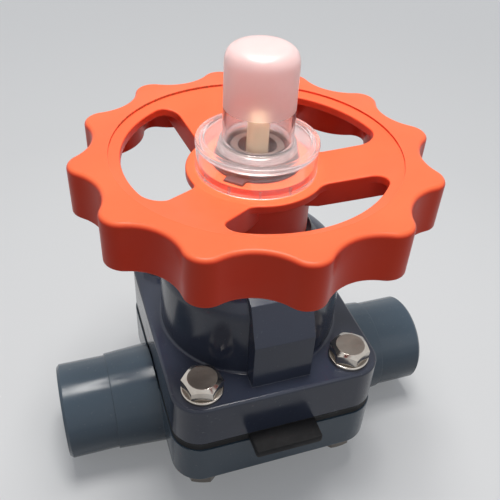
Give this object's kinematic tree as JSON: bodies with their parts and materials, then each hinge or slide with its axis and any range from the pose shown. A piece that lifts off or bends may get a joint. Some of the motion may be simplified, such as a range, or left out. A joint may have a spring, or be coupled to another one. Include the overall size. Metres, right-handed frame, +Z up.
{
  "type": "diaphragm valve",
  "caption": "Hand-operated weir diaphragm valve with plain pipe ends, lobed non-rising handwheel, clear indicator cap and foot with threaded inserts.",
  "frame": {"origin": "centre of the mounting face under the body, below the spindle axis", "axes": "+X along the pipe towards the right spigot, +Z up the spindle, -Y towards the front tab of the diaphragm"},
  "size_m": [0.203, 0.1618, 0.2218],
  "materials": {
    "body_plastic": "satin moulded",
    "bonnet_plastic": "satin moulded",
    "wheel_plastic": "satin moulded",
    "membrane_rubber": "matt",
    "seal_rubber": "matt",
    "stainless": "bright",
    "bright_ring": "turned bright",
    "dark_steel": "blackened",
    "brass": "machined",
    "clear_plastic": "slightly frosted clear",
    "ivory_plastic": "satin moulded",
    "bearing_plastic": "machined",
    "compressor_plastic": "moulded"
  },
  "bodies": {
    "valve_housing": {"valve_body": "body_plastic", "mounting_inserts": "brass", "diaphragm": "membrane_rubber", "bonnet": "bonnet_plastic", "bonnet_bolts": "stainless", "bolt_washers": "stainless", "nut_washers": "stainless", "body_nuts": "stainless", "lower_thrust_washer": "bearing_plastic"},
    "wheel_group": {"handwheel": "wheel_plastic", "stem_bush": "stainless", "bush_seal": "seal_rubber", "upper_thrust_washer": "bearing_plastic", "lock_washer": "dark_steel", "lock_ring": "bright_ring", "indicator_cap": "clear_plastic"},
    "spindle_group": {"spindle": "stainless", "position_indicator": "ivory_plastic", "compressor": "compressor_plastic", "compressor_pin": "stainless", "diaphragm_stud": "stainless"}
  },
  "joints": [
    {"name": "handwheel_turn", "type": "hinge", "parent": "valve_housing", "child": "wheel_group", "pos_m": [0, 0, 0.14], "axis": [0, 0, 1], "range_deg": [0, 1980]},
    {"name": "spindle_lift", "type": "slide", "parent": "valve_housing", "child": "spindle_group", "axis": [0, 0, 1], "range_m": [-0.0002, 0.0221], "deforming": ["diaphragm"]}
  ],
  "couplings": [
    {"joint": "spindle_lift", "follows": "handwheel_turn", "m_per_rad": 0.00063662}
  ]
}
